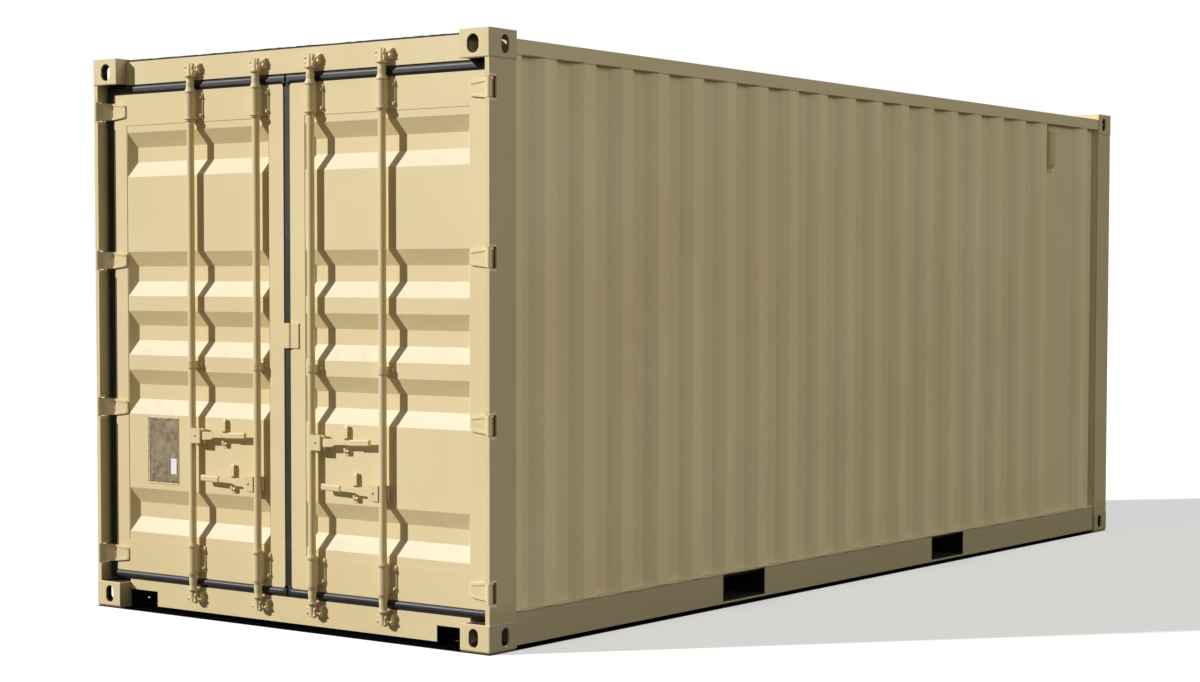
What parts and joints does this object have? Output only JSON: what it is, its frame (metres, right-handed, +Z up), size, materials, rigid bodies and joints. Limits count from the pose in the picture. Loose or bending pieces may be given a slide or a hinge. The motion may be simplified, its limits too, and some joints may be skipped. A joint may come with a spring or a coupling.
{
  "type": "shipping container",
  "caption": "Sand coloured dry freight shipping container with corrugated steel walls, twin hinged doors, lock rods, lever handles and fork pockets",
  "frame": {"origin": "middle of the footprint, at the height of the lower casting faces", "axes": "+Z up, +Y from the doors to the closed front end, +X to the right when facing the doors"},
  "size_m": [2.438, 6.058, 2.591],
  "materials": {
    "box_paint": "matte",
    "door_paint": "matte",
    "casting": "matte",
    "fittings": "satin",
    "seal_rubber": "matte",
    "floor_ply": "matte",
    "weathered_plate": "matte"
  },
  "bodies": {
    "box": {"corner_castings_top": "casting", "corner_castings_bottom": "casting", "front_posts": "box_paint", "door_header": "box_paint", "door_sill": "box_paint", "front_beams": "box_paint", "bottom_rails": "box_paint", "hinge_pins": "fittings", "top_rails": "box_paint", "fork_pockets": "box_paint", "crossmembers": "box_paint", "floor_boards": "floor_ply", "front_wall": "box_paint", "roof_sheet": "box_paint", "side_vents": "box_paint", "cam_keepers": "fittings", "rear_post_left": "box_paint", "side_wall_left": "box_paint", "rear_post_right": "box_paint", "side_wall_right": "box_paint"},
    "door_left": {"door_frame_left": "door_paint", "door_panel_left": "door_paint", "door_seal_left": "seal_rubber", "hinge_blades_left": "fittings", "rod_brackets_left": "fittings", "handle_catches_left": "fittings", "marking_plate": "weathered_plate"},
    "door_right": {"door_frame_right": "door_paint", "door_panel_right": "door_paint", "door_seal_right": "seal_rubber", "hinge_blades_right": "fittings", "rod_brackets_right": "fittings", "handle_catches_right": "fittings", "lap_plate": "door_paint"},
    "rod_1": {"lock_rod_1": "fittings", "rod_fittings_1": "fittings"},
    "handle_1": {"lock_handle_1": "fittings"},
    "rod_2": {"lock_rod_2": "fittings", "rod_fittings_2": "fittings"},
    "handle_2": {"lock_handle_2": "fittings"},
    "rod_3": {"lock_rod_3": "fittings", "rod_fittings_3": "fittings"},
    "handle_3": {"lock_handle_3": "fittings"},
    "rod_4": {"lock_rod_4": "fittings", "rod_fittings_4": "fittings"},
    "handle_4": {"lock_handle_4": "fittings"}
  },
  "joints": [
    {"name": "left_door_hinge", "type": "hinge", "parent": "box", "child": "door_left", "pos_m": [-1.207, -3.017, 1.3], "axis": [0, 0, -1], "range_deg": [0, 265]},
    {"name": "right_door_hinge", "type": "hinge", "parent": "box", "child": "door_right", "pos_m": [1.207, -3.017, 1.3], "axis": [0, 0, 1], "range_deg": [0, 265]},
    {"name": "rod_1_turn", "type": "hinge", "parent": "door_left", "child": "rod_1", "pos_m": [-0.592, -2.994, 1.3], "axis": [0, 0, 1], "range_deg": [-100, 0]},
    {"name": "handle_1_lift", "type": "hinge", "parent": "rod_1", "child": "handle_1", "pos_m": [-0.552, -2.998, 0.838], "axis": [0, 1, 0], "range_deg": [-25, 0]},
    {"name": "rod_2_turn", "type": "hinge", "parent": "door_left", "child": "rod_2", "pos_m": [-0.169, -2.994, 1.3], "axis": [0, 0, -1], "range_deg": [-100, 0]},
    {"name": "handle_2_lift", "type": "hinge", "parent": "rod_2", "child": "handle_2", "pos_m": [-0.209, -2.998, 0.634], "axis": [0, -1, 0], "range_deg": [-25, 0]},
    {"name": "rod_3_turn", "type": "hinge", "parent": "door_right", "child": "rod_3", "pos_m": [0.169, -2.994, 1.3], "axis": [0, 0, 1], "range_deg": [-100, 0]},
    {"name": "handle_3_lift", "type": "hinge", "parent": "rod_3", "child": "handle_3", "pos_m": [0.209, -2.998, 0.838], "axis": [0, 1, 0], "range_deg": [-25, 0]},
    {"name": "rod_4_turn", "type": "hinge", "parent": "door_right", "child": "rod_4", "pos_m": [0.592, -2.994, 1.3], "axis": [0, 0, -1], "range_deg": [-100, 0]},
    {"name": "handle_4_lift", "type": "hinge", "parent": "rod_4", "child": "handle_4", "pos_m": [0.552, -2.998, 0.634], "axis": [0, -1, 0], "range_deg": [-25, 0]}
  ]
}
